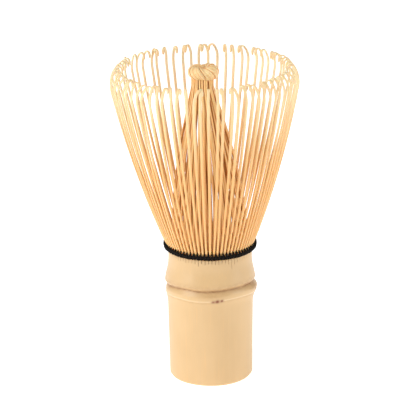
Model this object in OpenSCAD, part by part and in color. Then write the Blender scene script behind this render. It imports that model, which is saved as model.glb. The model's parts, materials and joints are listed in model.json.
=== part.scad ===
// Bamboo tea whisk: one culm section whose upper wall is split into two rings of
// tines, laced apart with thread. Millimetres, +Z up, origin at the centre of the
// foot, on the surface that the whisk stands on.

/* [Overall] */
// Height from the foot to the top of the curled tips
total_h = 110; // [95:1:135]

/* [Handle] */
// Outer radius of the culm at the foot
foot_r = 14.3; // [11.5:0.1:17]
// How much the culm widens in radius from the foot to the node
culm_taper = 0.5; // [0:0.1:1.2]
// Outer radius of the shaved collar above the node
collar_r = 14.35; // [12:0.05:17.5]
// Thickness of the collar's wall, which the tines are split from
collar_wall = 3.6; // [3:0.1:4.5]
// Radius of the hollow in the lower internode
bore_r = 9; // [6:0.25:10]
// Height of the scar line round the node
node_z = 33.8; // [27:0.1:38]
// How far the ridge below the scar stands out
ridge_h = 1; // [0.3:0.05:1.5]
// How far the brow above the scar stands out
brow_h = 1.2; // [0.3:0.05:1.5]
// Depth of the scar line itself
scar_depth = 0.3; // [0.1:0.05:0.5]
// Thickness of the diaphragm inside the node
septum_t = 2.2; // [1.2:0.1:4]
// How far the wall thickens inwards round the diaphragm
septum_seat = 1; // [0.5:0.1:2]
// Edge break round the foot
foot_chamfer = 0.5; // [0.2:0.1:1]

/* [Splitting] */
// Number of staves that the culm is first split into
staves = 12; // [8:1:14]
// Outer tines, and inner tines, that each stave is then split into
tines_per_stave = 6; // [4:1:6]
// How many degrees the tines crowd towards the front
crowding = 4; // [0:0.5:5]

/* [Outer tines] */
// Width of an outer tine round the ring
outer_w = 0.66; // [0.4:0.02:0.8]
// Thickness of an outer tine where it leaves the lacing
outer_root_t = 0.7; // [0.5:0.05:0.9]
// Thickness of an outer tine at its shaved tip
outer_tip_t = 0.26; // [0.15:0.01:0.4]
// Middle height of the lacing that holds the tines apart
lacing_z = 47; // [41:0.1:57]
// Lean of a tine from upright inside the lacing
lacing_lean = 26; // [15:0.5:30]
// Lean of a tine from upright once clear of the lacing
flare_start = 20.7; // [15:0.1:26]
// Lean of a tine from upright where its tip starts to curl
flare_end = 11.6; // [4:0.1:14]
// Bend radius of the shoulder, where the tip turns inwards
shoulder_r = 7; // [3:0.25:9]
// Bend radius of the curled tip
curl_r = 1.15; // [0.8:0.05:1.8]
// Straight end of the curled tip
tail_len = 1.4; // [0.5:0.1:2.5]
// How far the whole crown leans to one side, in degrees
crown_lean = 1.6; // [0:0.05:2.5]
// Compass direction of that lean, in degrees from +X towards +Y
lean_azimuth = 155; // [0:1:359]

/* [Inner tines] */
// Width of an inner tine round the ring
inner_w = 0.48; // [0.3:0.02:0.56]
// Thickness of an inner tine
inner_t = 0.42; // [0.25:0.01:0.5]
// Mean radius of the bundled inner tines under the knot
neck_r = 3.2; // [3.1:0.1:5]
// Distance between the three layers of tines in the bundle
neck_layer = 0.75; // [0.6:0.05:1]
// Thickness of the knot of curled tips, through its ring
knot_t = 4.7; // [3.8:0.1:5]
// How far the top of the knot stays below the tops of the outer tines
knot_drop = 0; // [0:0.1:2]
// How far the knot's flat seat is cut into its ring
knot_seat = 0.35; // [0.3:0.05:0.6]
// How far the knot leans off the axis, the same way as the crown, in degrees
knot_lean = 2.1; // [0:0.1:3]

/* [Lacing] */
// Diameter of the thread
thread_d = 0.8; // [0.5:0.02:1]
// Diameter of the thread where it is pulled through between two tines
stitch_d = 0.28; // [0.15:0.01:0.32]

/* [Fits] */
// Gap between the culm's split ends and the tines that flex on them
root_gap = 0.2; // [0.1:0.05:0.4]
// Gap between the thread and an outer tine
thread_gap = 0.16; // [0.1:0.02:0.4]
// Gap between the thread and an inner tine
inner_gap = 0.1; // [0.05:0.05:0.4]

/* [Hidden] */
$fn = 48;
tines = staves * tines_per_stave;
step = 360 / tines;
collar_bore_r = collar_r - collar_wall;

// An outer tine is upright at its root and turns to lacing_lean at the pivot
pivot_r = collar_r - outer_root_t / 2;
pivot_z = lacing_z - thread_d;
bend_len = 1.2;
root_len = 0.2;
relax_len = 6;
root_z = pivot_z - rise([0, lacing_lean, bend_len]) / 2 - root_len;
collar_top = root_z - root_gap;

// Radial stack through the lacing, from the outside inwards
thread_offset = (outer_root_t / 2 + thread_gap + thread_d / 2) / cos(lacing_lean);
lower_round_z = lacing_z - thread_d / 2;
upper_round_z = lacing_z + thread_d / 2;
inner_round_r = tine_r(lacing_z) - thread_offset;
inner_root_r = inner_round_r - thread_d / 2 - inner_gap - inner_t / 2;

// The curled tip, as headings from upright, in degrees
curl_start = -42;
curl_end = -165;
shoulder = [flare_end, curl_start, arc(shoulder_r, flare_end - curl_start)];
curl = [curl_start, curl_end, arc(curl_r, curl_start - curl_end)];
curl_top = curl_r * (1 + sin(curl_start)) + outer_tip_t / 2;

// Blade length that brings the top of the curl to total_h
below_blade = root_len + rise([0, lacing_lean, bend_len])
    + rise([lacing_lean, flare_start, relax_len]);
blade_rise = total_h - root_z - below_blade - rise(shoulder) - curl_top;
blade_len = blade_rise / rise([flare_start, flare_end, 1]);

// The knot is a ring that sits on the ends of the bundled inner tines
knot_ring_r = neck_r - 0.3;
knot_z = total_h - knot_drop - knot_t / 2;
knot_seat_z = knot_z - knot_t / 2 + knot_seat;
neck_len = 3.2;
neck_z = knot_seat_z - neck_len;
knot_shift = (knot_z - lacing_z) * tan(knot_lean);
knot_centre = knot_shift * [cos(lean_azimuth), sin(lean_azimuth)];

// Rings of the node on both sides of the scar, and the diaphragm behind it
ridge_z = node_z - 2;
brow_z = node_z + 1.4;
septum_r = bore_r - septum_seat;
septum_low = node_z - septum_t / 2;
septum_high = node_z + septum_t / 2;

OUTER = [for (k = [1:staves]) str("outer_tines_", k < 10 ? "0" : "", k)];
INNER = [for (k = [1:staves]) str("inner_tines_", k < 10 ? "0" : "", k)];

// ---- Curves ----

// A run is [heading at its start, heading at its end, length]; upright is 0 degrees.
// Displacement [across, up] after a share t of a run.
function travel(run, t) =
    let (h0 = run[0], turn = run[1] - run[0], h = h0 + turn * t)
    abs(turn) < 0.01
        ? run[2] * t * [sin(h0), cos(h0)]
        : run[2] * 180 / (PI * turn) * [cos(h0) - cos(h), sin(h) - sin(h0)];
function rise(run) = travel(run, 1)[1];
function arc(r, degrees) = r * PI * degrees / 180;

// [across, up, heading, distance] along a list of runs, each cut into parts[i] pieces
function path_points(runs, parts, at, dist, i) = i >= len(runs) ? [] :
    let (run = runs[i], turn = run[1] - run[0])
    concat(
        [for (k = [(i == 0 ? 0 : 1):parts[i]])
            let (t = k / parts[i], p = at + travel(run, t))
            [p[0], p[1], run[0] + turn * t, dist + run[2] * t]],
        path_points(runs, parts, at + travel(run, 1), dist + run[2], i + 1));

function turned(p, centre, a) = let (d = p - centre)
    centre + [d[0] * cos(a) + d[1] * sin(a), d[1] * cos(a) - d[0] * sin(a)];

// Both faces of a strip along a line of [across, up, heading, thickness]
function face_point(p, side) = [p[0] + side * p[3] / 2 * cos(p[2]),
    p[1] - side * p[3] / 2 * sin(p[2])];
function strip_outline(line) = concat(
    [for (p = line) face_point(p, 1)],
    [for (i = [len(line) - 1:-1:0]) face_point(line[i], -1)]);

// Azimuth of tine i, counted from -Y; half steps are the inner tines
function azimuth(i) = let (u = i * step) u - 90 - crowding * sin(u);

// Middle radius of an outer tine at a height inside the lacing
function tine_r(z) = pivot_r + (z - pivot_z) * tan(lacing_lean);

// A smooth bump of height 1 at z = 0, and a smooth step from 0 to 1
function bump(z, width) = exp(-pow(z / width, 2));
function ease(t) = let (c = min(1, max(0, t))) c * c * (3 - 2 * c);

// Outer radius of the culm at height z
function culm_r(z) =
    let (shaft = foot_r + culm_taper * min(1, z / node_z),
         body = shaft + (collar_r - shaft) * ease((z - ridge_z) / 5),
         ridge_w = z < ridge_z ? 2.9 : 1.3,
         brow_w = z < brow_z ? 1.2 : 4)
    body + ridge_h * bump(z - ridge_z, ridge_w) + brow_h * bump(z - brow_z, brow_w)
        - scar_depth * bump(z - node_z, 0.4);

// ---- Culm ----

module handle() {
    ring_step = 0.6;
    first_z = foot_chamfer + 0.3;
    rings = floor((collar_top - first_z) / ring_step - 0.5);
    color("burlywood") rotate_extrude() polygon(concat(
        [[bore_r, 0], [culm_r(0) - foot_chamfer, 0]],
        [for (k = [0:rings]) let (z = first_z + k * ring_step) [culm_r(z), z]],
        [[collar_r, collar_top], [collar_bore_r, collar_top],
         [collar_bore_r, septum_high], [septum_r, septum_high],
         [septum_r, septum_low], [bore_r, septum_low]]));
}

module node_septum() {
    color("wheat") translate([0, 0, septum_low]) cylinder(r = septum_r, h = septum_t);
}

// ---- Tines ----

module outer_tine(i) {
    a = azimuth(i);
    lean = crown_lean * cos(a - lean_azimuth);
    pivot = [pivot_r, pivot_z];
    runs = [
        [0, 0, root_len],
        [0, lacing_lean, bend_len],
        [lacing_lean, flare_start, relax_len],
        [flare_start, flare_end, blade_len],
        shoulder,
        curl,
        [curl_end, curl_end, tail_len]
    ];
    fixed_len = root_len + bend_len / 2;
    shaved_len = relax_len + blade_len + shoulder[2];
    line = [for (p = path_points(runs, [1, 3, 2, 8, 4, 5, 1], [pivot_r, root_z], 0, 0))
        let (free = p[3] > fixed_len,
             q = free ? turned([p[0], p[1]], pivot, lean) : [p[0], p[1]],
             shaved = pow(min(1, max(0, p[3] - fixed_len) / shaved_len), 0.7))
        [q[0], q[1], p[2] + (free ? lean : 0),
         outer_root_t + (outer_tip_t - outer_root_t) * shaved]];
    rotate([0, 0, a]) rotate([90, 0, 0])
        linear_extrude(height = outer_w, center = true) polygon(strip_outline(line));
}

module outer_tines(stave) {
    color("navajowhite") for (j = [0:tines_per_stave - 1])
        outer_tine(stave * tines_per_stave + j);
}

module inner_tine(i) {
    a = azimuth(i + 0.5);
    layer = (i % 3) - 1;
    foot = inner_root_r * [cos(a), sin(a)];
    top = knot_centre + (neck_r + layer * neck_layer) * [cos(a), sin(a)];
    reach = norm(top - foot);
    heading = atan2(top[1] - foot[1], top[0] - foot[0]);
    lift = neck_z - lacing_z;
    parts = 10;
    line = concat(
        [[0, collar_top, 0, inner_t]],
        [for (k = [0:parts]) let (t = k / parts)
            [reach * (1 - cos(90 * t)), lacing_z + lift * t,
             atan2(reach * PI / 2 * sin(90 * t), lift), inner_t]],
        [[reach, neck_z + neck_len / 3, 0, inner_t], [reach, knot_seat_z, 0, inner_t]]);
    translate([foot[0], foot[1], 0]) rotate([0, 0, heading]) rotate([90, 0, 0])
        linear_extrude(height = inner_w, center = true) polygon(strip_outline(line));
}

module inner_tines(stave) {
    color("sandybrown") for (j = [0:tines_per_stave - 1])
        inner_tine(stave * tines_per_stave + j);
}

// The tips of the inner tines, curled over into a ring with a flat seat on the bundle
module inner_knot() {
    color("burlywood") translate([knot_centre[0], knot_centre[1], 0])
        rotate_extrude() intersection() {
            translate([knot_ring_r, knot_z]) circle(r = knot_t / 2);
            translate([0, knot_seat_z]) square([knot_ring_r + knot_t, knot_t]);
        }
}

// ---- Lacing ----

module thread_round(r, z) {
    translate([0, 0, z]) rotate_extrude() translate([r, 0]) circle(r = thread_d / 2);
}

// Two rounds outside the outer tines and one inside them, joined by a stitch in every gap
module lacing_thread() {
    stitch_len = tine_r(lacing_z) + thread_offset - inner_round_r;
    color("black") union() {
        thread_round(inner_round_r, lacing_z);
        thread_round(tine_r(lower_round_z) + thread_offset, lower_round_z);
        thread_round(tine_r(upper_round_z) + thread_offset, upper_round_z);
        for (i = [0:tines - 1])
            rotate([0, 0, azimuth(i + 0.5)]) translate([inner_round_r, 0, lacing_z])
                rotate([0, 90, 0]) cylinder(d = stitch_d, h = stitch_len);
    }
}

handle();
node_septum();
for (k = [0:staves - 1]) {
    outer_tines(k);
    inner_tines(k);
}
inner_knot();
lacing_thread();
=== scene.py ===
"""Bamboo tea whisk: the looks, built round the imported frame. Lengths are in metres."""

import json
import math

import bmesh
import bpy
import numpy as np
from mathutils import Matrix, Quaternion, Vector


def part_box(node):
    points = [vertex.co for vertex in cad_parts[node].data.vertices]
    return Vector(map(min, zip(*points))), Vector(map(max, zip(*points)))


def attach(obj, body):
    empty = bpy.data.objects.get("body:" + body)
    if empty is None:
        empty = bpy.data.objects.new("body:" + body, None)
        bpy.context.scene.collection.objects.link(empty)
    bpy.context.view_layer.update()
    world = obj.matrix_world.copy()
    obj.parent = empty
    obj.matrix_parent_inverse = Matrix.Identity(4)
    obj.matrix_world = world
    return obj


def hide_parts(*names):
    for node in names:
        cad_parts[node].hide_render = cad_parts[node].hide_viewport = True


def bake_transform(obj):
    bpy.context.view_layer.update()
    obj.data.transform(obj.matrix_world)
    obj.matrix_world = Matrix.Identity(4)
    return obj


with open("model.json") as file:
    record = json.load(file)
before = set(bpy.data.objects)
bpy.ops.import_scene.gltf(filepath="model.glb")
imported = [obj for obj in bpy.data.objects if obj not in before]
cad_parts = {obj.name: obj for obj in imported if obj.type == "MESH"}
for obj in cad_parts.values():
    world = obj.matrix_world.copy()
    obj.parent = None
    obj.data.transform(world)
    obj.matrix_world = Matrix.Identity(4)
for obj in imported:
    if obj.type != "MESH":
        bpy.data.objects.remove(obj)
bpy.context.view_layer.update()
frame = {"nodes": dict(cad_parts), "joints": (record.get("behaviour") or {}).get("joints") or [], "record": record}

MM = 0.001
CORE = "whisk_core"
FRONT = -math.pi / 2

# ---- Sizes read from the frame ----

JOINTS = frame["joints"]
STAVES = len(JOINTS)
TINES_PER_STAVE = 6
TINES = STAVES * TINES_PER_STAVE
PIVOT_Z = JOINTS[0]["pos_m"][2]
COLLAR_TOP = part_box("handle")[1].z
SEPTUM_LOW, SEPTUM_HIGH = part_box("node_septum")
OUTER_BOXES = [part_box(f"outer_tines_{k:02d}") for k in range(1, STAVES + 1)]
CROWN_TOP = sum(high.z for low, high in OUTER_BOXES) / STAVES
KNOT_LOW, KNOT_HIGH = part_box("inner_knot")
KNOT_CENTRE = (KNOT_LOW + KNOT_HIGH) / 2
LACING_LOW, LACING_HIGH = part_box("lacing_thread")
LACING_Z = (LACING_LOW.z + LACING_HIGH.z) / 2
THREAD_D = (LACING_HIGH.z - LACING_LOW.z) / 2
LACING_R = LACING_HIGH.x - THREAD_D / 2
BORE_R = frame["record"]["mounts"][1]["dims"]["r_mm"] * MM


def radius_at(node, low, high):
    """Largest radius of a CAD node between two heights."""
    heights = ((math.hypot(v.co.x, v.co.y), v.co.z) for v in frame["nodes"][node].data.vertices)
    return max(r for r, z in heights if low <= z <= high)


COLLAR_R = radius_at("handle", COLLAR_TOP - 0.01 * MM, COLLAR_TOP)
# The foot is measured just above its chamfer.
FOOT_R = radius_at("handle", 0.6 * MM, 1.2 * MM)
NODE_Z = (SEPTUM_LOW.z + SEPTUM_HIGH.z) / 2
SEPTUM_R = SEPTUM_HIGH.x

# ---- Sizes of the culm, as in the part's design ----

COLLAR_WALL = 3.6 * MM
CULM_TAPER = 0.5 * MM
FOOT_ROUNDING = 0.5 * MM
RIDGE_H = 1.0 * MM
BROW_H = 1.2 * MM
# The split ends stand a little above the collar, in among the roots of the tines.
CULM_TOP = COLLAR_TOP + 0.45 * MM

# ---- Sizes of the splitting and shaving ----

# They follow the part's design, but the tips are left thicker and the curl is wound further.
# LACING_LEAN to CURL_END are a tine's headings on its way up, in degrees outwards from upright.

CROWDING = math.radians(4)
CROWN_LEAN = math.radians(1.6)
LEAN_AZIMUTH = math.radians(155)
ROOT_T = 0.7 * MM
TIP_T = 0.42 * MM
LACING_LEAN = 26
FLARE_START = 20.7
FLARE_END = 11.6
CURL_START = -42
CURL_END = -175
SHOULDER_R = 7 * MM
CURL_R = 1.15 * MM
TINE_R = COLLAR_R - ROOT_T / 2

# ---- Colours ----

STRAW = (0.67, 0.452, 0.228)
STRAW_DEEP = (0.62, 0.41, 0.198)
HIGHLIGHT_STRAW = (0.86, 0.68, 0.43)
CREAM = (0.81, 0.48, 0.19)
APRICOT = (0.94, 0.60, 0.255)
TIP_CREAM = (0.845, 0.64, 0.355)
TIP_LEMON = (0.93, 0.81, 0.56)
PALE_CREAM = (0.98, 0.78, 0.44)
OUTER_SIDE_AND_SHADE = (0.84, 0.51, 0.20)
HONEY = (0.87, 0.49, 0.175)
ORANGE = (0.77, 0.40, 0.12)
INNER_SIDE_AND_SHADE = (0.70, 0.29, 0.05)
KNOT_SIDE_AND_NECK_SHADE = (0.74, 0.26, 0.06)
SHADED_STRAW = (0.46, 0.27, 0.12)
UMBER = (0.34, 0.17, 0.07)
SIENNA = (0.2, 0.045, 0.012)
PITH = (0.88, 0.74, 0.52)
SOOT = (0.007, 0.005, 0.004)
WORN_BLACK = (0.02, 0.015, 0.012)


# ---- Small helpers ----


def add_object(name, mesh):
    piece = bpy.data.objects.new(name, mesh)
    bpy.context.scene.collection.objects.link(piece)
    return piece


def mesh_from(name, points, faces, smooth=True):
    mesh = bpy.data.meshes.new(name)
    mesh.from_pydata([tuple(p) for p in points], [], faces)
    mesh.validate()
    mesh.polygons.foreach_set("use_smooth", [smooth] * len(mesh.polygons))
    return mesh


def mark(mesh, name, values):
    """Stores one number per point, for the materials and the node trees to read."""
    layer = mesh.attributes.new(name, "FLOAT", "POINT")
    layer.data.foreach_set("value", np.asarray(values, np.float32))


def turn_outwards(mesh):
    """Recalculates the normals of a closed mesh so that they point outwards."""
    work = bmesh.new()
    work.from_mesh(mesh)
    bmesh.ops.recalc_face_normals(work, faces=work.faces)
    work.to_mesh(mesh)
    work.free()


def smooth_step(low, high, value):
    """Rises smoothly from 0 at low to 1 at high."""
    t = np.clip((np.asarray(value, float) - low) / (high - low), 0, 1)
    return t * t * (3 - 2 * t)


def bump(value, width):
    """A bell of height 1 round zero."""
    return np.exp(-((np.asarray(value, float) / width) ** 2))


def wrapped(angle):
    """The same angle, between minus and plus half a turn."""
    return np.arctan2(np.sin(angle), np.cos(angle))


def arc_length(radius, degrees):
    return radius * math.radians(degrees)


def azimuth_of(tine):
    """Compass direction of a tine, counted from the front; the tines crowd there a little."""
    u = 2 * math.pi * tine / TINES
    return u + FRONT - CROWDING * math.sin(u)


def tube_faces(rings, sides, closed_ends=True):
    """Faces of a tube whose points are listed ring by ring."""
    faces = []
    for r in range(rings - 1):
        below, above = r * sides, (r + 1) * sides
        for k in range(sides):
            beside = (k + 1) % sides
            faces.append((below + k, below + beside, above + beside, above + k))
    if closed_ends:
        faces.append(tuple(reversed(range(sides))))
        faces.append(tuple((rings - 1) * sides + k for k in range(sides)))
    return faces


# ---- Node trees ----


class Tree:
    """Writes a node tree line by line. A socket or a plain value can feed any input."""

    def __init__(self, tree):
        self.tree = tree

    def feed(self, socket, value):
        if isinstance(value, bpy.types.NodeSocket):
            self.tree.links.new(value, socket)
        else:
            socket.default_value = value

    def put(self, kind, values=(), **settings):
        made = self.tree.nodes.new(kind)
        for key, value in settings.items():
            setattr(made, key, value)
        for key, value in dict(values).items():
            self.feed(made.inputs[key], value)
        return made

    def calc(self, operation, *terms):
        made = self.put("ShaderNodeMath", operation=operation)
        for socket, term in zip(made.inputs, terms):
            self.feed(socket, term)
        return made.outputs[0]

    def total(self, first, *others):
        for term in others:
            first = self.calc("ADD", first, term)
        return first

    def product(self, first, *others):
        for term in others:
            first = self.calc("MULTIPLY", first, term)
        return first

    def join(self, first, *others):
        """Sum of vectors."""
        for term in others:
            made = self.put("ShaderNodeVectorMath", {0: first, 1: term}, operation="ADD")
            first = made.outputs["Vector"]
        return first

    def scaled(self, vector, factor):
        made = self.put("ShaderNodeVectorMath", {"Vector": vector, "Scale": factor}, operation="SCALE")
        return made.outputs["Vector"]

    def xyz(self, x=0.0, y=0.0, z=0.0):
        return self.put("ShaderNodeCombineXYZ", {"X": x, "Y": y, "Z": z}).outputs[0]

    def ramp(self, value, low, high, start=0.0, end=1.0, steps="SMOOTHSTEP"):
        sizes = {"Value": value, "From Min": low, "From Max": high, "To Min": start, "To Max": end}
        return self.put("ShaderNodeMapRange", sizes, interpolation_type=steps).outputs["Result"]

    def noise(self, vector, scale, detail=2.0, rough=0.5):
        sizes = {"Vector": vector, "Scale": scale, "Detail": detail, "Roughness": rough}
        return self.put("ShaderNodeTexNoise", sizes).outputs[0]


class Maker(Tree):
    """A Geometry Nodes tree with named inputs that ends in Realize Instances and Set Material."""

    KINDS = {
        float: "NodeSocketFloat",
        int: "NodeSocketInt",
        bpy.types.Object: "NodeSocketObject",
        bpy.types.Material: "NodeSocketMaterial",
    }

    def __init__(self, name, inputs):
        super().__init__(bpy.data.node_groups.new(name, "GeometryNodeTree"))
        self.tree.is_modifier = True
        face = self.tree.interface
        face.new_socket("Geometry", in_out="INPUT", socket_type="NodeSocketGeometry")
        face.new_socket("Geometry", in_out="OUTPUT", socket_type="NodeSocketGeometry")
        for label, kind in {**inputs, "Material": bpy.types.Material}.items():
            face.new_socket(label, in_out="INPUT", socket_type=self.KINDS[kind])
        self.given = self.tree.nodes.new("NodeGroupInput").outputs

    def store(self, geometry, name, value):
        sizes = {"Geometry": geometry, "Name": name, "Value": value}
        made = self.put("GeometryNodeStoreNamedAttribute", sizes, data_type="FLOAT", domain="POINT")
        return made.outputs["Geometry"]

    def stored(self, name):
        made = self.put("GeometryNodeInputNamedAttribute", {"Name": name}, data_type="FLOAT")
        return made.outputs["Attribute"]

    def chance(self, low, high, number, seed):
        made = self.put("FunctionNodeRandomValue", {"ID": number, "Seed": seed}, data_type="FLOAT")
        self.feed(made.inputs[2], low)
        self.feed(made.inputs[3], high)
        return made.outputs[1]

    def position(self):
        return self.put("GeometryNodeInputPosition").outputs[0]

    def move(self, geometry, position):
        made = self.put("GeometryNodeSetPosition", {"Geometry": geometry, "Position": position})
        return made.outputs["Geometry"]

    def turned(self, vector, centre, axis, angle):
        sizes = {"Vector": vector, "Center": centre, "Axis": axis, "Angle": angle}
        made = self.put("ShaderNodeVectorRotate", sizes, rotation_type="AXIS_ANGLE")
        return made.outputs[0]

    def compass(self, azimuth):
        """Unit vectors outwards and round the ring at an azimuth."""
        sine, cosine = self.calc("SINE", azimuth), self.calc("COSINE", azimuth)
        return self.xyz(cosine, sine), self.xyz(self.calc("MULTIPLY", sine, -1.0), cosine)

    def ring_points(self, count, first, shares):
        """Points that carry a tine's azimuth, its tint and some random shares from -1 to 1."""
        g = self.given
        number = self.total(self.put("GeometryNodeInputIndex").outputs[0], first)
        u = self.product(number, self.calc("DIVIDE", 2 * math.pi, g["Ring"]))
        swing = self.product(self.calc("SINE", u), g["Crowding"])
        azimuth = self.calc("SUBTRACT", self.total(u, FRONT), swing)
        points = self.put("GeometryNodePoints", {"Count": count}).outputs[0]
        points = self.store(points, "azimuth", azimuth)
        # Some rings start half a tine on, so the number is brought back to a whole one.
        whole = self.calc("FLOOR", self.total(number, 0.25))
        points = self.store(points, "number", whole)
        for k, label in enumerate(shares):
            share = self.chance(-1.0, 1.0, whole, self.total(g["Seed"], k))
            points = self.store(points, label, share)
        return self.store(points, "tint", self.chance(0.0, 1.0, whole, self.total(g["Seed"], 50)))

    def copies(self, points, blank, azimuth):
        """Copies of the blank on the points, turned to their azimuth and made real to be bent."""
        shape = self.put("GeometryNodeObjectInfo", {"Object": blank}, transform_space="ORIGINAL")
        turn = self.put("FunctionNodeEulerToRotation", {"Euler": self.xyz(z=azimuth)}).outputs[0]
        sizes = {"Points": points, "Instance": shape.outputs["Geometry"], "Rotation": turn}
        made = self.put("GeometryNodeInstanceOnPoints", sizes).outputs[0]
        return self.put("GeometryNodeRealizeInstances", {"Geometry": made}).outputs[0]

    def finish(self, geometry):
        whole = self.put("GeometryNodeRealizeInstances", {"Geometry": geometry}).outputs[0]
        sizes = {"Geometry": whole, "Material": self.given["Material"]}
        made = self.put("GeometryNodeSetMaterial", sizes)
        out = self.tree.nodes.new("NodeGroupOutput")
        self.tree.links.new(made.outputs[0], out.inputs[0])
        return self.tree


# Inputs that every ring of copies has.
RING_INPUTS = {
    "Blank": bpy.types.Object,
    "Tines": int,
    "Ring": int,
    "Seed": int,
    "Crowding": float,
}


def grow(name, tree, values):
    """Runs a node tree on an empty mesh and returns what it made, as a plain mesh object."""
    holder = add_object(name + "_maker", bpy.data.meshes.new(name + "_maker"))
    modifier = holder.modifiers.new("maker", "NODES")
    modifier.node_group = tree
    identifiers = {
        item.name: item.identifier
        for item in tree.interface.items_tree
        if item.item_type == "SOCKET" and item.in_out == "INPUT"
    }
    for label, value in values.items():
        modifier[identifiers[label]] = value
    graph = bpy.context.evaluated_depsgraph_get()
    mesh = bpy.data.meshes.new_from_object(
        holder.evaluated_get(graph), preserve_all_data_layers=True, depsgraph=graph
    )
    bpy.data.objects.remove(holder)
    return add_object(name, mesh)


# ---- Materials ----


class Finish(Tree):
    """A material's node tree round one Principled shader, which it gives when painted."""

    def __init__(self, name, **constants):
        self.material = bpy.data.materials.new(name)
        self.material.use_nodes = True
        super().__init__(self.material.node_tree)
        self.shader = self.tree.nodes["Principled BSDF"]
        for key, value in constants.items():
            self.shader.inputs[key.replace("_", " ").title()].default_value = value
        self.place = self.put("ShaderNodeTexCoord").outputs["Object"]

    def value(self, name):
        return self.put("ShaderNodeAttribute", attribute_name=name).outputs["Fac"]

    def blend(self, factor, first, second):
        made = self.put("ShaderNodeMix", data_type="RGBA")
        self.feed(made.inputs[0], factor)
        for socket, colour in ((made.inputs[6], first), (made.inputs[7], second)):
            self.feed(socket, (*colour, 1.0) if isinstance(colour, tuple) else colour)
        return made.outputs[2]

    def stretched(self, x, y, z):
        return self.put("ShaderNodeMapping", {"Vector": self.place, "Scale": (x, y, z)}).outputs[0]

    def relief(self, height, strength, distance):
        sizes = {"Height": height, "Strength": strength, "Distance": distance}
        self.feed(self.shader.inputs["Normal"], self.put("ShaderNodeBump", sizes).outputs[0])

    def paint(self, colour, roughness):
        self.feed(self.shader.inputs["Base Color"], colour)
        self.feed(self.shader.inputs["Roughness"], roughness)
        return self.material


def culm_finish():
    """Polished straw-coloured skin with fine upright fibres, stains, painted shade at the node and slits, a
    painted highlight on the lip, cut ends and a pithy bore.
    """
    t = Finish("culm_skin")
    fibres = t.noise(t.stretched(1, 1, 0.02), 2600, 3)
    bands = t.noise(t.stretched(1, 1, 0.05), 420, 2)
    clouds = t.noise(t.stretched(1, 1, 0.6), 95, 2)
    mottle = t.total(t.product(clouds, 0.8), t.product(bands, 0.2))
    colour = t.blend(t.ramp(mottle, 0.25, 0.8), STRAW, STRAW_DEEP)
    colour = t.blend(t.ramp(fibres, 0.5, 0.85, 0, 0.22), colour, HONEY)
    # Painted highlight along the thin lip under the ridge.
    colour = t.blend(t.product(t.value("pale"), 0.8), colour, HIGHLIGHT_STRAW)
    uneven = t.ramp(t.noise(t.stretched(1, 1, 2), 600, 3, 0.65), 0.35, 0.6, 0.45, 1.0)
    # Painted shade in the groove, under the brow and the lip, and in patches round the node.
    colour = t.blend(t.product(t.value("shade"), uneven), colour, SHADED_STRAW)
    # Real stains and the scar's line, and painted shade down the slits.
    colour = t.blend(t.product(t.value("stain_and_slit_shade"), uneven), colour, UMBER)
    colour = t.blend(t.value("spot"), colour, SIENNA)
    dots = t.put("ShaderNodeTexVoronoi", {"Vector": t.stretched(1, 1, 0.05), "Scale": 2100.0})
    bundles = t.ramp(dots.outputs["Distance"], 0.18, 0.34, 1.0, 0.0)
    grain = t.blend(t.product(bundles, 0.7), PITH, UMBER)
    cut = t.value("cut")
    colour = t.blend(cut, colour, grain)
    colour = t.blend(t.product(t.value("bore"), 0.85), colour, t.blend(bands, PITH, HONEY))
    relief = t.total(t.product(fibres, 0.6), t.product(bands, 0.3), t.product(clouds, 0.3))
    t.relief(relief, 0.22, 0.12 * MM)
    return t.paint(colour, t.total(t.ramp(fibres, 0.3, 0.7, 0.34, 0.44), t.product(cut, 0.3)))


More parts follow.
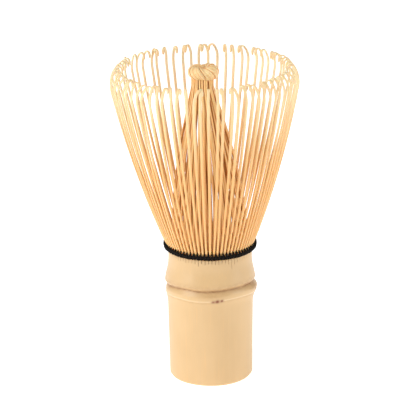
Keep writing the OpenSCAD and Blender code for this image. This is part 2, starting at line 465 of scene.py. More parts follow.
def split_finish(name, face, side, tip, inner_tip, tip_start, shade, edge_shade=0.55, neck_shade=0.0):
    """Split and shaved bamboo, whose outer face, sides and back, and tips differ in colour.

    The sides and back are partly the split wood's own colour and partly painted shade for the
    gaps between tines. The tips pale from tip_start, a share of the length, and the root is shaded
    up to shade. edge_shade is how far the edges take on the side colour, as painted shade between
    tines, and neck_shade how strongly the bundle below the knot is painted in reddish shade."""
    t = Finish(name, subsurface_weight=0.25, subsurface_scale=0.5 * MM)
    t.shader.inputs["Subsurface Radius"].default_value = (1.0, 0.55, 0.25)
    along, skin, tint = t.value("along"), t.value("skin"), t.value("tint")
    across = t.value("across")
    streaks = t.noise(
        t.xyz(t.product(across, 5.0), t.product(along, 22.0), t.product(tint, 97.0)), 1.0, 3, 0.6
    )
    long_streaks = t.noise(
        t.xyz(t.product(across, 3.0), t.product(along, 5.0), t.product(tint, 41.0)), 1.3, 2
    )
    outside = t.blend(t.ramp(streaks, 0.36, 0.7, 0.0, 0.8), face, HONEY)
    outside = t.blend(t.ramp(long_streaks, 0.5, 0.75, 0.0, 0.5), outside, ORANGE)
    # Painted shade along the edges, to darken the lines between tines.
    edge = t.ramp(t.calc("ABSOLUTE", across), 0.3, 0.5, 0.0, edge_shade)
    outside = t.blend(edge, outside, side)
    # The sides and back take the side colour: partly the split wood's own colour, partly painted shade for the
    # gaps between tines.
    colour = t.blend(t.ramp(skin, 0.35, 0.9), side, outside)
    colour = t.blend(t.ramp(tint, 0.3, 1.0, 0.0, 0.3, "LINEAR"), colour, ORANGE)
    pale = t.blend(t.ramp(skin, 0.35, 0.9), inner_tip, tip)
    colour = t.blend(t.ramp(along, tip_start, 0.92, 0.0, 0.92, "LINEAR"), colour, pale)
    colour = t.blend(t.ramp(along, 0.0, shade, 0.55, 0.0), colour, side)
    if neck_shade:
        # Painted shade on the deeper layers of the bundle.
        deep = t.value("deep")
        colour = t.blend(t.product(deep, 0.2), colour, ORANGE)
        inside = t.calc("MAXIMUM", t.ramp(skin, 0.3, 0.8, 1.0, 0.0), deep)
        # Painted reddish shade in the slits of the bundle under the knot.
        neck = t.ramp(along, 0.8, 0.91, 0.0, neck_shade)
        colour = t.blend(t.product(neck, inside), colour, KNOT_SIDE_AND_NECK_SHADE)
    t.relief(streaks, 0.25, 0.05 * MM)
    return t.paint(colour, t.ramp(skin, 0.2, 0.9, 0.58, 0.4))


def cotton_finish():
    """Matt black cotton with stray fibres across the twist."""
    t = Finish("black_cotton", sheen_weight=0.01, sheen_roughness=0.5)
    t.shader.inputs["Specular IOR Level"].default_value = 0.12
    fuzz = t.noise(t.place, 9000, 3, 0.7)
    lumps = t.noise(t.place, 1500, 2)
    colour = t.blend(t.ramp(fuzz, 0.5, 0.8, 0.0, 0.6), SOOT, WORN_BLACK)
    t.relief(t.total(fuzz, lumps), 0.5, 0.06 * MM)
    return t.paint(colour, t.ramp(fuzz, 0.3, 0.7, 0.75, 0.95))


def pith_finish():
    """Papery diaphragm of the node, with fibres that wander from the middle to the rim."""
    t = Finish("node_pith")
    tangle = t.noise(t.place, 700, 5, 0.7)
    flakes = t.noise(t.place, 160, 3, 0.6)
    colour = t.blend(t.ramp(tangle, 0.35, 0.7), PITH, HONEY)
    colour = t.blend(t.ramp(flakes, 0.55, 0.75, 0.0, 0.5), colour, UMBER)
    t.relief(t.total(tangle, flakes), 0.6, 0.3 * MM)
    return t.paint(colour, t.ramp(tangle, 0.3, 0.7, 0.7, 0.9))


# ---- Culm ----

# Stains and spots on the skin, and patches of painted shade: kind, degrees round from the front,
# height above the node line, half-width in degrees, half-height and strength.
MARKS = [
    ("spot", 3.2, -3.35 * MM, 2.4, 0.5 * MM, 0.9),
    ("spot", 8.6, -3.3 * MM, 2.4, 0.6 * MM, 1.3),
    ("spot", 14.2, -3.25 * MM, 1.9, 0.5 * MM, 1.2),
    ("spot", 74.0, -2.2 * MM, 2.0, 0.35 * MM, 0.9),
    ("stain_and_slit_shade", 50.0, 0.5 * MM, 3.0, 0.45 * MM, 0.8),
    ("stain_and_slit_shade", 55.0, 0.9 * MM, 2.0, 0.35 * MM, 0.6),
    ("shade", 66.0, -1.6 * MM, 10.0, 1.0 * MM, 0.5),
    ("shade", 5.0, -1.4 * MM, 16.0, 1.0 * MM, 0.45),
    ("shade", -58.0, 0.1 * MM, 14.0, 0.5 * MM, 0.5),
    ("shade", -78.0, -0.8 * MM, 11.0, 1.3 * MM, 0.6),
    ("shade", 76.0, -0.6 * MM, 9.0, 1.4 * MM, 0.6),
    ("stain_and_slit_shade", 64.0, 0.1 * MM, 6.0, 0.5 * MM, 0.6),
    ("stain_and_slit_shade", -66.0, 0.0, 5.0, 0.4 * MM, 0.45),
    ("shade", 14.0, 0.4 * MM, 22.0, 0.6 * MM, 0.4),
    ("spot", 161.0, -2.9 * MM, 1.5, 0.25 * MM, 0.8),
    ("stain_and_slit_shade", -140.0, 0.3 * MM, 5.0, 0.4 * MM, 0.6),
]


# Where the columns of points stand between one tine and the next. The slit is in the middle.
SLIT_SHARE = 0.5
COLUMN_SHARES = (0.0, 0.2, 0.35, 0.44, SLIT_SHARE, 0.56, 0.65, 0.8)

# Slits that run further down the collar than the rest: number of the gap, and length.
LONG_SLITS = {6: 3.1 * MM, 7: 1.7 * MM, 68: 1.8 * MM, 25: 2.4 * MM, 44: 2.9 * MM}


def node_height(turn):
    """Height of the node line: it is a little higher in front and on the right, and wavy."""
    tilt = 0.9 * np.cos(turn) + 0.45 * np.sin(turn)
    return NODE_Z + MM * (tilt + 0.22 * (1 - np.cos(turn * 4)))


def scar_level(turn):
    """Height of the scar's groove, from the node line."""
    return 0.12 * MM * np.sin(turn * 3 + 2) + 0.07 * MM * np.sin(turn * 7)


def lip_level(turn):
    """Height of the thin pale lip under the ridge, from the node line."""
    return 0.1 * MM * np.sin(turn * 4) - 3.2 * MM


def skin_radius(z, turn):
    """Outer radius of the culm at a height, at angles counted from the front.

    The ridge below the node line and the brow above it each have a steep and a long side."""
    level = z - node_height(turn)
    ridge = level + 2 * MM - 0.12 * MM * np.sin(turn * 2 + 0.6)
    ridge_h = RIDGE_H * (1 + 0.3 * np.sin(turn) + 0.1 * np.cos(turn * 3 + 1))
    ridge_w = np.where(ridge < 0, 2.9, 1.3) * MM
    brow = level - 1.4 * MM
    brow_h = BROW_H * (1 - 0.05 * np.sin(turn) + 0.06 * np.cos(turn * 2))
    brow_w = np.where(brow < 0, 1.2, 4.0) * MM
    lip = level - lip_level(turn)
    waves = 0.04 * MM * np.sin(turn * 5 + z * 90) + 0.05 * MM * np.cos(turn * 2 - 0.8)
    shaft = FOOT_R + CULM_TAPER * np.minimum(1, z / NODE_Z)
    return (
        shaft
        + (COLLAR_R - shaft) * smooth_step(0, 5 * MM, level + 2 * MM)
        + ridge_h * bump(ridge, ridge_w)
        + brow_h * bump(brow, brow_w)
        - 0.34 * MM * bump(level - scar_level(turn), 0.38 * MM)
        + 0.1 * MM * bump(lip, 0.22 * MM)
        - 0.08 * MM * bump(lip + 0.55 * MM, 0.3 * MM)
        + waves * smooth_step(0, 6 * MM, COLLAR_TOP - z)
    )


def slit_lengths():
    """How far the slit between two tines runs down the collar, once for each column."""
    rng = np.random.default_rng(11)
    reach = 0.75 * MM + 0.55 * MM * rng.random(TINES) ** 2
    for gap, length in LONG_SLITS.items():
        reach[gap] = length
    return np.repeat(reach, len(COLUMN_SHARES)) + 0.4 * MM


def skin_heights():
    """Heights of the rings outside: close together at the foot, at the node and at the slits."""
    heights = [0.16 * MM, 0.38 * MM, 0.7 * MM, 1.2 * MM]
    stops = (
        (NODE_Z - 7.3 * MM, 1.6 * MM),
        (NODE_Z + 4.7 * MM, 0.17 * MM),
        (NODE_Z + 8.2 * MM, 0.7 * MM),
        (CULM_TOP, 0.16 * MM),
    )
    for stop, stride in stops:
        start = heights[-1]
        parts = max(1, round((stop - start) / stride))
        heights += [start + (stop - start) * k / parts for k in range(1, parts + 1)]
    return heights


class CulmSkin:
    """Rings of points round the culm, with the marks that its finish reads at each point."""

    def __init__(self):
        places = [(i, share) for i in range(TINES) for share in COLUMN_SHARES]
        self.columns = [azimuth_of(i + share) for i, share in places]
        self.turn = wrapped(np.array(self.columns) - FRONT)
        self.slit = np.array([share == SLIT_SHARE for i, share in places])
        self.slit_foot = CULM_TOP - slit_lengths()
        self.rings = []
        self.marks = {kind: [] for kind in ("shade", "stain_and_slit_shade", "spot", "pale", "cut", "bore")}

    def ring(self, radius, z, cut=0.0, bore=0.0):
        self.rings.append((np.broadcast_to(np.asarray(radius, float), self.turn.shape), z))
        for values in self.marks.values():
            values.append(np.zeros(len(self.turn)))
        self.marks["cut"][-1] += cut
        self.marks["bore"][-1] += bore

    def paint(self, z):
        """Adds the stains and the spots, the painted shade round the node and down the slits, and the painted
        highlight on the lip to the newest ring.
        """
        level = z - node_height(self.turn)
        newest = {kind: values[-1] for kind, values in self.marks.items()}
        for kind, degrees, height, half_width, half_height, strength in MARKS:
            off = np.degrees(wrapped(self.turn - math.radians(degrees)))
            newest[kind] += strength * bump(off, half_width) * bump(level - height, half_height)
        scar = level - scar_level(self.turn)
        lip = level - lip_level(self.turn)
        # The scar's own brown line, then painted shade in its groove and under the brow.
        newest["stain_and_slit_shade"] += 0.9 * bump(scar, 0.22 * MM)
        newest["shade"] += 0.5 * bump(scar, 0.6 * MM) + 0.5 * bump(level - 1.0 * MM, 1.2 * MM)
        # A painted highlight along the lip, and painted shadow just under it.
        newest["pale"] += 0.55 * bump(lip, 0.25 * MM)
        newest["shade"] += 0.35 * bump(lip + 0.6 * MM, 0.3 * MM)
        # Painted shade down the slits between the split staves.
        newest["stain_and_slit_shade"] += 0.85 * self.slit * smooth_step(0, 0.3 * MM, z - self.slit_foot)

    def outside(self):
        """From the foot up to the split ends, with the slits cut in."""
        self.ring(skin_radius(0.0, self.turn) - FOOT_ROUNDING, 0.0, cut=1)
        for z in skin_heights():
            rounding = FOOT_ROUNDING * (1 - smooth_step(0, 0.75 * MM, z))
            depth = 0.8 * MM * smooth_step(0, 0.5 * MM, z - self.slit_foot) * self.slit
            self.ring(skin_radius(z, self.turn) - rounding - depth, z)
            self.paint(z)

    def inside(self):
        """Over the split ends, down the hollow, round the diaphragm's rim and down the bore."""
        hollow_r = COLLAR_R - COLLAR_WALL
        self.ring(COLLAR_R - 0.12 * MM - 0.75 * MM * self.slit, CULM_TOP + 0.06 * MM, cut=0.7)
        self.ring(COLLAR_R - 1.7 * MM, CULM_TOP + 0.02 * MM, cut=1)
        self.ring(hollow_r, CULM_TOP - 0.15 * MM, cut=1)
        self.ring(hollow_r, (CULM_TOP + SEPTUM_HIGH.z) / 2, bore=1)
        self.ring(hollow_r, SEPTUM_HIGH.z + 0.8 * MM, bore=1)
        self.ring(hollow_r - 0.5 * MM, SEPTUM_HIGH.z + 0.2 * MM, bore=1)
        self.ring(SEPTUM_R, SEPTUM_HIGH.z, bore=1)
        self.ring(SEPTUM_R, SEPTUM_LOW.z, bore=1)
        self.ring(BORE_R - 0.35 * MM, SEPTUM_LOW.z - 0.15 * MM, bore=1)
        self.ring(BORE_R, SEPTUM_LOW.z - 0.6 * MM, bore=1)
        for k in range(5, 0, -1):
            self.ring(BORE_R, (SEPTUM_LOW.z - 1.4 * MM) * k / 5, bore=1)
        self.ring(BORE_R, 0.3 * MM, bore=1)
        self.ring(BORE_R + 0.25 * MM, 0.0, cut=1)

    def mesh(self, name):
        """Joins the rings one to the next, and the last one to the first."""
        cosines, sines = np.cos(self.columns), np.sin(self.columns)
        points = [
            (r * c, r * s, z)
            for radius, z in self.rings
            for r, c, s in zip(radius, cosines, sines)
        ]
        sides = len(self.columns)
        last = (len(self.rings) - 1) * sides
        faces = tube_faces(len(self.rings), sides, closed_ends=False)
        faces += [(last + k, last + (k + 1) % sides, (k + 1) % sides, k) for k in range(sides)]
        mesh = mesh_from(name, points, faces)
        for kind, values in self.marks.items():
            mark(mesh, kind, np.clip(np.concatenate(values), 0, 1))
        return mesh


def culm():
    """The cut culm, as one closed skin: outside, split ends, hollow above and bore below."""
    skin = CulmSkin()
    skin.outside()
    skin.inside()
    mesh = skin.mesh("handle_skin")
    turn_outwards(mesh)
    mesh.set_sharp_from_angle(angle=math.radians(48))
    mesh.materials.append(culm_finish())
    return add_object("handle_skin", mesh)


# ---- Split strips ----


def travel(start, end, length, share):
    """Steps across and up after a share of a run whose heading turns from start to end."""
    a = math.radians(start)
    turn = math.radians(end - start)
    if abs(turn) < 1e-4:
        return length * share * math.sin(a), length * share * math.cos(a)
    b = a + turn * share
    return length / turn * (math.cos(a) - math.cos(b)), length / turn * (math.sin(b) - math.sin(a))


def follow(runs, at):
    """Points along a row of runs, each given as (start heading, end heading, length, parts).

    A point holds its place across, its height, its heading and the distance gone."""
    x, z = at
    line = [(x, z, runs[0][0], 0.0)]
    gone = 0.0
    for start, end, length, parts in runs:
        for k in range(1, parts + 1):
            share = k / parts
            dx, dz = travel(start, end, length, share)
            line.append((x + dx, z + dz, start + (end - start) * share, gone + length * share))
        dx, dz = travel(start, end, length, 1)
        x, z, gone = x + dx, z + dz, gone + length
    return line


# Cross-section of a split strip, as shares of its width and thickness: a crowned
# outer face, flat sides and a flat inner face, with the edges taken off.
SECTION = [
    (-0.36, 0.44),
    (0.0, 0.5),
    (0.36, 0.44),
    (0.5, 0.22),
    (0.5, -0.32),
    (0.38, -0.5),
    (-0.38, -0.5),
    (-0.5, -0.32),
    (-0.5, 0.22),
]


def strip_blank(name, line, width, thickness, extra):
    """One strip in the XZ plane. line holds (x, z, heading), and the lists hold a value a point."""
    points = []
    marks = {"skin": [], "across": [], **{key: [] for key in extra}}
    for k, (x, z, heading) in enumerate(line):
        a = math.radians(heading)
        for side, out in SECTION:
            # From the middle of the strip towards its outer face.
            t = out * thickness[k]
            points.append((x + t * math.cos(a), side * width[k], z - t * math.sin(a)))
            marks["skin"].append(max(0.0, min(1.0, 0.5 + out * 1.6)))
            marks["across"].append(side)
            for key, values in extra.items():
                marks[key].append(values[k])
    mesh = mesh_from(name, points, tube_faces(len(line), len(SECTION)))
    for key, values in marks.items():
        mark(mesh, key, values)
    turn_outwards(mesh)
    mesh.set_sharp_from_angle(angle=math.radians(50))
    return add_object(name, mesh)


def outer_width(share):
    """Width of an outer tine: it narrows above its root and widens again up the blade."""
    root = 0.24 * (1 - float(smooth_step(0.0, 0.07, share)))
    blade = 0.19 * float(smooth_step(0.05, 0.5, share))
    top = 0.06 * float(smooth_step(0.6, 0.85, share))
    return (0.69 + root + blade + top) * MM


def outer_blank():
    """An outer tine: a root in the collar, a flared blade, a shoulder and a curled tip."""
    bend = 1.2 * MM
    root = 1.1 * MM
    relax = 6 * MM
    shoulder = arc_length(SHOULDER_R, FLARE_END - CURL_START)
    curl = arc_length(CURL_R, CURL_START - CURL_END)
    tail = 1.2 * MM
    rise = travel(0, LACING_LEAN, bend, 1)[1]
    start_z = PIVOT_Z - rise / 2 - root
    below = root + rise + travel(LACING_LEAN, FLARE_START, relax, 1)[1]
    # Rise from the end of the shoulder to the top of the curl.
    curl_top = CURL_R * (1 + math.sin(math.radians(CURL_START))) + TIP_T / 2
    above = travel(FLARE_END, CURL_START, shoulder, 1)[1] + curl_top
    blade = (CROWN_TOP - start_z - below - above) / travel(FLARE_START, FLARE_END, 1, 1)[1]
    runs = [
        (0, 0, root, 2),
        (0, LACING_LEAN, bend, 3),
        (LACING_LEAN, FLARE_START, relax, 4),
        (FLARE_START, FLARE_END, blade, 10),
        (FLARE_END, CURL_START, shoulder, 6),
        (CURL_START, CURL_END, curl, 8),
        (CURL_END, CURL_END, tail, 2),
    ]
    line = follow(runs, (TINE_R - 0.04 * MM, start_z))
    shaved = relax + blade + shoulder
    spine, width, thickness, along, hook = [], [], [], [], []
    shoulder_x = follow(runs[:4], (TINE_R, start_z))[-1][0]
    for x, z, heading, gone in line:
        share = min(1.0, max(0.0, (gone - root - bend) / shaved))
        spine.append((x, z, heading))
        width.append(outer_width(share))
        thickness.append(ROOT_T + (TIP_T - ROOT_T) * share**1.6)
        along.append(gone / line[-1][3])
        past = gone > root + bend + relax + blade
        hook.append(max(0.0, shoulder_x - x) if past else 0.0)
    width[-1] *= 0.5
    width[-2] *= 0.85
    return strip_blank("outer_blank", spine, width, thickness, {"along": along, "hook": hook})


def inner_blank():
    """An inner tine: upright at its root, drawn inwards along a quarter wave, then a straight neck.

    Its place across is left to the node tree, which pulls each tine from its root to the knot."""
    foot = COLLAR_TOP
    neck = KNOT_LOW.z - 2.6 * MM
    top = KNOT_LOW.z + 1.4 * MM
    parts = 22
    spine, width, thickness, along, pull = [(0, foot, 0)], [0.86 * MM], [0.5 * MM], [0.0], [0.0]
    for k in range(parts + 1):
        t = k / parts
        spine.append((0, LACING_Z + (neck - LACING_Z) * t, -14 * math.sin(math.pi / 2 * t)))
        width.append((0.92 - 0.34 * t**0.8) * MM)
        thickness.append((0.5 - 0.08 * t) * MM)
        along.append(0.03 + 0.9 * t)
        pull.append(1 - math.cos(math.pi / 2 * t))
    for share in (0.4, 1.0):
        spine.append((0, neck + (top - neck) * share, 0))
        width.append(0.56 * MM)
        thickness.append(0.42 * MM)
        along.append(0.93 + 0.07 * share)
        pull.append(1.0)
    return strip_blank("inner_blank", spine, width, thickness, {"along": along, "pull": pull})


def outer_tree():
    """Splits a stave into its outer tines: copies of one blank, each turned, leant and swayed."""
    sizes = ("First", "Pivot radius", "Pivot height", "Lean", "Lean azimuth")
    scatter = ("Lean scatter", "Sway", "Bow", "Curl swing")
    t = Maker("split_stave", {**RING_INPUTS, **dict.fromkeys(sizes + scatter, float)})
    g = t.given
    shares = ("lean_share", "sway_share", "bow_share", "swing_share", "push_share")
    points = t.ring_points(g["Tines"], g["First"], shares)
    tines = t.copies(points, g["Blank"], t.stored("azimuth"))

    azimuth, along, hook = t.stored("azimuth"), t.stored("along"), t.stored("hook")
    outwards, around = t.compass(azimuth)
    swing = t.product(t.stored("swing_share"), t.stored("swing_share"), t.stored("swing_share"))
    twist = t.product(swing, g["Curl swing"])
    aside = t.product(hook, t.calc("SINE", twist))
    back = t.product(hook, t.calc("SUBTRACT", 1.0, t.calc("COSINE", twist)))
    belly = t.calc("SINE", t.product(along, math.pi))
    bow = t.product(belly, t.stored("bow_share"), g["Bow"])
    push = t.product(belly, t.stored("push_share"), g["Bow"], 0.6)
    position = t.join(
        t.position(),
        t.scaled(around, t.total(aside, bow)),
        t.scaled(outwards, t.total(back, push)),
    )
    pivot = t.join(t.scaled(outwards, g["Pivot radius"]), t.xyz(z=g["Pivot height"]))
    free = t.ramp(along, 0.015, 0.06)
    crown = t.product(g["Lean"], t.calc("COSINE", t.calc("SUBTRACT", azimuth, g["Lean azimuth"])))
    own = t.product(t.stored("lean_share"), g["Lean scatter"])
    lean = t.product(t.total(crown, own), free)
    sway = t.product(t.stored("sway_share"), g["Sway"], free)
    position = t.turned(position, pivot, around, lean)
    position = t.turned(position, pivot, outwards, sway)
    return t.finish(t.move(tines, position))


def inner_tree():
    """Gathers the inner tines: each copy is pulled from its root towards the knot."""
    sizes = ("First", "Root radius", "Neck radius", "Layer", "Knot x", "Knot y", "Wander", "Stray")
    t = Maker("gathered_tines", {**RING_INPUTS, **dict.fromkeys(sizes, float)})
    g = t.given
    shares = ("wander_share", "depth_share", "phase_share")
    points = t.ring_points(g["Tines"], g["First"], shares)
    layer = t.calc("SUBTRACT", t.calc("MODULO", t.stored("number"), 3.0), 1.0)
    # Deeper layers of the bundle get more painted shade in the finish.
    points = t.store(points, "deep", t.product(t.calc("SUBTRACT", 1.0, layer), 0.5))
    tines = t.copies(points, g["Blank"], t.stored("azimuth"))

    azimuth, along, pull = t.stored("azimuth"), t.stored("along"), t.stored("pull")
    outwards, around = t.compass(azimuth)
    top_r = t.total(g["Neck radius"], t.product(layer, g["Layer"]))
    reach = t.calc("SUBTRACT", top_r, g["Root radius"])
    knot = t.xyz(g["Knot x"], g["Knot y"])
    free = t.ramp(along, 0.05, 0.35)
    wave = t.calc("SINE", t.total(t.product(along, 7.0), t.product(t.stored("phase_share"), 3.0)))
    wander = t.product(t.total(t.stored("wander_share"), t.product(wave, 0.5)), g["Wander"], free)
    settle = t.ramp(along, 0.82, 1.0, 1.0, 0.35)
    stray = t.product(t.stored("depth_share"), t.calc("SINE", t.product(along, math.pi)), g["Stray"])
    position = t.join(
        t.position(),
        t.scaled(outwards, t.total(g["Root radius"], t.product(reach, pull), stray)),
        t.scaled(knot, pull),
        t.scaled(around, t.product(wander, settle)),
    )
    return t.finish(t.move(tines, position))


# ---- Knot ----


def strand_blank():
    """A curled tip, kept as shares: along its curl, across its width and up from its bed."""
    parts = 18
    along = [k / parts for k in range(parts + 1)]
    spine = [(0.0, share, 0.0) for share in along]
    ones = [1.0] * len(along)
    return strip_blank("strand_blank", spine, ones, ones, {"along": along})


def knot_tree():
    """Winds the tips of the inner tines over a ring with two lobes."""
    sizes = ("Ring radius", "Tube radius", "Strand", "Twist", "Pinch", "Dip", "Lift", "Scatter")
    centre = ("Knot x", "Knot y", "Knot z", "Pinch azimuth")
    t = Maker("wound_knot", {**RING_INPUTS, **dict.fromkeys(sizes + centre, float)})
    g = t.given
    shares = ("place_share", "lift_share")
    points = t.ring_points(g["Tines"], 0.0, shares)
    strands = t.copies(points, g["Blank"], 0.0)

    along = t.stored("along")
    split = t.put("ShaderNodeSeparateXYZ", {"Vector": t.position()}).outputs
    out, side = split["X"], split["Y"]
    curl_start, curl_end = math.radians(-118), math.radians(205)
    curl = t.ramp(along, 0.0, 1.0, curl_start, curl_end, "LINEAR")
    width = t.calc("DIVIDE", g["Strand"], t.total(g["Ring radius"], g["Tube radius"]))
    turn = t.total(
        t.stored("azimuth"),
        t.product(t.stored("place_share"), g["Scatter"]),
        t.product(t.calc("SUBTRACT", 1.0, along), g["Twist"]),
        t.product(side, width),
    )
    thickness = 0.42 * MM
    lift = t.product(t.stored("lift_share"), g["Lift"])
    bed = t.total(g["Tube radius"], t.product(out, thickness), lift)
    waist = t.calc("COSINE", t.calc("SUBTRACT", turn, g["Pinch azimuth"]))
    pinch = t.calc("POWER", t.calc("ABSOLUTE", waist), 7.0)
    lobe = t.ramp(t.calc("COSINE", turn), -1.0, 1.0, 0.97, 1.05)
    high = t.ramp(t.calc("SINE", curl), -0.2, 1.0)
    squeeze = t.calc("SUBTRACT", 1.0, t.product(pinch, g["Pinch"]))
    radius = t.product(
        t.total(g["Ring radius"], t.product(bed, t.calc("COSINE", curl))), squeeze, lobe
    )
    height = t.calc(
        "SUBTRACT", t.product(bed, t.calc("SINE", curl), lobe), t.product(pinch, g["Dip"], high)
    )
    outwards, around = t.compass(turn)
    position = t.join(
        t.xyz(g["Knot x"], g["Knot y"], g["Knot z"]), t.scaled(outwards, radius), t.xyz(z=height)
    )
    return t.finish(t.move(strands, position))


# ---- Lacing ----


def thread_tree():
    """One ply of a round of twisted thread, as a wave wound round a ring."""
    sizes = ("Radius", "Height", "Ply offset", "Ply radius", "Turns", "Phase", "Slack")
    t = Maker("thread_round", {"Sides": int, **dict.fromkeys(sizes, float)})
    g = t.given
    ring = t.put("GeometryNodeCurvePrimitiveCircle", {"Resolution": 720, "Radius": 1.0}, mode="RADIUS")
    factor = t.put("GeometryNodeSplineParameter").outputs["Factor"]
    angle = t.product(factor, 2 * math.pi)
    outwards, around = t.compass(angle)
    turns = t.total(t.product(angle, g["Turns"]), g["Phase"])
    wide, tight = t.calc("SINE", t.product(angle, 9.0)), t.calc("COSINE", t.product(angle, 23.0))
    loose = t.product(g["Slack"], t.total(wide, tight))
    out = t.total(g["Radius"], t.product(g["Ply offset"], t.calc("COSINE", turns)))
    up = t.total(g["Height"], t.product(g["Ply offset"], t.calc("SINE", turns)), loose)
    path = t.move(ring.outputs[0], t.join(t.scaled(outwards, out), t.xyz(z=up)))
    ply = {"Resolution": g["Sides"], "Radius": g["Ply radius"]}
    section = t.put("GeometryNodeCurvePrimitiveCircle", ply, mode="RADIUS").outputs[0]
    tube = t.put("GeometryNodeCurveToMesh", {"Curve": path, "Profile Curve": section}).outputs[0]
    return t.finish(t.put("GeometryNodeSetShadeSmooth", {"Geometry": tube}).outputs[0])


def stitch_blank():
    """The thread where it rises between two tines and turns over to the inner round."""
    low, top = LACING_LOW.z + 0.25 * MM, LACING_HIGH.z + 0.85 * MM
    outer = LACING_R + 0.05 * MM
    inner = TINE_R - 1.0 * MM
    middle = (outer + inner) / 2
    half = (outer - inner) / 2
    crest = 0.55 * MM
    spine = [(outer, low, 0.0), (outer + 0.05 * MM, (low + top) / 2, 0.0)]
    for degrees in range(0, 181, 30):
        a = math.radians(degrees)
        spine.append((middle + half * math.cos(a), top - crest + crest * math.sin(a), -degrees))
    spine.append((inner, LACING_Z, -180.0))
    # The thread swells where it comes out between the tines and is drawn thin behind them.
    widths = [width * MM for width in (0.5, 0.72, 0.66, 0.56, 0.5, 0.46, 0.44, 0.44, 0.44, 0.44)]
    sides = 7
    points = []
    for (x, z, heading), width in zip(spine, widths):
        a = math.radians(heading)
        for k in range(sides):
            b = 2 * math.pi * k / sides
            out = width / 2 * math.cos(b)
            points.append((x + out * math.cos(a), width / 2 * math.sin(b), z - out * math.sin(a)))
    mesh = mesh_from("stitch_blank", points, tube_faces(len(spine), sides))
    turn_outwards(mesh)
    return add_object("stitch_blank", mesh)


# ---- Camera, floor and light ----


def camera():
    data = bpy.data.cameras.new("camera")
    made = bpy.data.objects.new("camera", data)
    bpy.context.scene.collection.objects.link(made)
    distance = 0.85
    framed_width = 141.98 * MM
    elevation = math.radians(18.6)
    roll = math.radians(-0.5)
    aim = Vector((-0.6 * MM, 0, 59.9 * MM))
    back = Vector((0, -math.cos(elevation), math.sin(elevation)))
    made.location = aim + back * distance
    made.rotation_mode = "QUATERNION"
    made.rotation_quaternion = Quaternion(back, roll) @ (-back).to_track_quat("-Z", "Y")
    data.sensor_width = 36
    data.lens = data.sensor_width * distance / framed_width
    data.clip_start, data.clip_end = 0.1, 20
    bpy.context.scene.camera = made


def softbox(name, place, size, power):
    data = bpy.data.lights.new(name, "AREA")
    data.shape = "RECTANGLE"
    data.size, data.size_y = size
    data.energy = power
    lamp = bpy.data.objects.new(name, data)
    bpy.context.scene.collection.objects.link(lamp)
    lamp.location = place
    aim = Vector((0, 0, 60 * MM)) - Vector(place)
    lamp.rotation_euler = aim.to_track_quat("-Z", "Y").to_euler()


def studio():
    scene = bpy.context.scene
    scene.view_settings.view_transform = "Standard"
    world = bpy.data.worlds.new("studio")
    scene.world = world
    world.use_nodes = True
    t = Tree(world.node_tree)
    seen = t.put("ShaderNodeLightPath").outputs["Is Camera Ray"]
    glow = t.ramp(seen, 0.0, 1.0, 0.35, 1.0, "LINEAR")
    t.feed(t.tree.nodes["Background"].inputs["Color"], (1, 1, 1, 1))
    t.feed(t.tree.nodes["Background"].inputs["Strength"], glow)
    softbox("key", (-0.85, -0.45, 0.55), (0.5, 0.9), 8.2)
    softbox("fill", (0.9, -0.25, 0.4), (0.45, 0.8), 3.9)
    softbox("top", (0.0, -0.1, 1.1), (0.8, 0.8), 2.2)
    # The floor lies just below the foot, so that the two faces never share a plane.
    half = 6
    drop = -0.05 * MM
    corners = [(-half, -half, drop), (half, -half, drop), (half, half, drop), (-half, half, drop)]
    floor = add_object("floor", mesh_from("floor", corners, [(0, 1, 2, 3)], smooth=False))
    paper = Finish("white_paper", emission_color=(1, 1, 1, 1), emission_strength=0.58)
    tooth = paper.noise(paper.place, 40, 2)
    colour = paper.blend(tooth, (0.96, 0.96, 0.96), (0.98, 0.98, 0.98))
    floor.data.materials.append(paper.paint(colour, 0.9))


# ---- Assembly ----


def add_outer_tines():
    # The outer tines' sides are partly their own colour and partly painted shade.
    finish = split_finish("shaved_outer_tines", CREAM, OUTER_SIDE_AND_SHADE, TIP_CREAM, TIP_LEMON, 0.48, 0.16)
    blank = outer_blank()
    tree = outer_tree()
    for k, joint in enumerate(JOINTS):
        node = f"outer_tines_{k + 1:02d}"
        values = {
            "Blank": blank,
            "Tines": TINES_PER_STAVE,
            "First": float(k * TINES_PER_STAVE),
            "Ring": TINES,
            "Crowding": CROWDING,
            "Pivot radius": TINE_R,
            "Pivot height": PIVOT_Z,
            "Lean": CROWN_LEAN,
            "Lean azimuth": LEAN_AZIMUTH,
            "Lean scatter": math.radians(0.4),
            "Sway": math.radians(0.45),
            "Bow": 0.25 * MM,
            "Curl swing": math.radians(52),
            "Seed": 3,
            "Material": finish,
        }
        stave = grow(node + "_shaved", tree, values)
        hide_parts(node)
        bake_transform(stave)
    bpy.data.objects.remove(blank)


def add_inner_tines():
    # The inner tines' sides are partly their own colour and partly painted shade in the gaps between them.
    colours = (APRICOT, INNER_SIDE_AND_SHADE, APRICOT, APRICOT)
    # neck_shade paints reddish shade on the bundle under the knot.
    finish = split_finish("split_inner_tines", *colours, 0.6, 0.2, edge_shade=0.75, neck_shade=0.85)
    blank = inner_blank()
    values = {
        "Blank": blank,
        "Tines": TINES,
        "First": 0.5,
        "Ring": TINES,
        "Seed": 17,
        "Crowding": CROWDING,
        "Root radius": COLLAR_R - 1.65 * MM,
        "Neck radius": 2.95 * MM,
        "Layer": 0.62 * MM,
        "Knot x": KNOT_CENTRE.x,
        "Knot y": KNOT_CENTRE.y,
        "Wander": 0.5 * MM,
        "Stray": 0.55 * MM,
        "Material": finish,
    }
    tines = grow("inner_tines_split", inner_tree(), values)
    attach(tines, CORE)
    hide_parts(*(f"inner_tines_{k:02d}" for k in range(1, STAVES + 1)))
    bpy.data.objects.remove(blank)


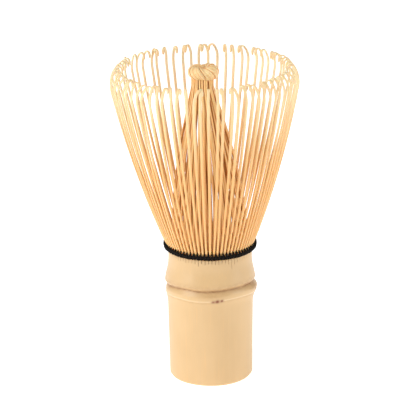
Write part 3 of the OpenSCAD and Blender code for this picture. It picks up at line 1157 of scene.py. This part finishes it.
def add_knot():
    # The strands' sides and edges are partly their own colour and partly painted shade between the strands.
    colours = (PALE_CREAM, KNOT_SIDE_AND_NECK_SHADE, PALE_CREAM, PALE_CREAM)
    finish = split_finish("curled_tips", *colours, 0.9, 0.3)
    blank = strand_blank()
    strands = 36
    tube = (KNOT_HIGH.z - KNOT_LOW.z) / 2
    values = {
        "Blank": blank,
        "Tines": strands,
        "Ring": strands,
        "Seed": 5,
        "Crowding": 0.0,
        "Ring radius": KNOT_HIGH.x - KNOT_CENTRE.x - tube,
        "Tube radius": tube - 0.15 * MM,
        "Strand": 1.04 * MM,
        "Twist": math.radians(95),
        "Pinch": 0.17,
        "Dip": 0.55 * MM,
        "Lift": 0.16 * MM,
        "Scatter": math.radians(2.4),
        "Knot x": KNOT_CENTRE.x,
        "Knot y": KNOT_CENTRE.y,
        "Knot z": KNOT_CENTRE.z,
        "Pinch azimuth": FRONT + math.radians(8),
        "Material": finish,
    }
    knot = grow("inner_knot_strands", knot_tree(), values)
    turn_outwards(knot.data)
    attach(knot, CORE)
    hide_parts("inner_knot")
    bpy.data.objects.remove(blank)


def add_lacing():
    """Three rounds of thread of two plies each, and a stitch between each pair of tines."""
    cotton = cotton_finish()
    tree = thread_tree()
    # Radius, height and phase of the two rounds outside the tines and the one inside them.
    rounds = [
        (LACING_R - 0.3 * MM, LACING_Z - THREAD_D * 0.48, 0.0),
        (LACING_R + 0.03 * MM, LACING_Z + THREAD_D * 0.48, 1.1),
        (TINE_R - 0.85 * MM, LACING_Z, 2.0),
    ]
    parts = []
    for k, (radius, height, phase) in enumerate(rounds):
        for ply in range(2):
            values = {
                "Sides": 8,
                "Radius": radius,
                "Height": height,
                "Ply offset": 0.2 * MM,
                "Ply radius": 0.235 * MM,
                "Turns": 58.0 + k,
                "Phase": phase + math.pi * ply,
                "Slack": 0.03 * MM,
                "Material": cotton,
            }
            parts.append(grow(f"round_{k}_{ply}", tree, values))
    blank = stitch_blank()
    still = ("Lean", "Lean azimuth", "Lean scatter", "Sway", "Bow", "Curl swing")
    values = {
        "Blank": blank,
        "Tines": TINES,
        "First": 0.5,
        "Ring": TINES,
        "Seed": 8,
        "Crowding": CROWDING,
        "Pivot radius": TINE_R,
        "Pivot height": LACING_Z,
        **dict.fromkeys(still, 0.0),
        "Material": cotton,
    }
    parts.append(grow("stitches", outer_tree(), values))
    bpy.data.objects.remove(blank)
    work = bmesh.new()
    for part in parts:
        work.from_mesh(part.data)
        bpy.data.objects.remove(part)
    mesh = bpy.data.meshes.new("lacing_twist")
    work.to_mesh(mesh)
    work.free()
    mesh.polygons.foreach_set("use_smooth", [True] * len(mesh.polygons))
    mesh.materials.append(cotton)
    turn_outwards(mesh)
    lacing = add_object("lacing_twist", mesh)
    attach(lacing, CORE)
    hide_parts("lacing_thread")


def add_culm():
    handle = culm()
    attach(handle, CORE)
    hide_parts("handle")
    septum = frame["nodes"]["node_septum"]
    pith = pith_finish()
    for held in septum.material_slots:
        held.material = pith


camera()
studio()
add_culm()
add_outer_tines()
add_inner_tines()
add_knot()
add_lacing()
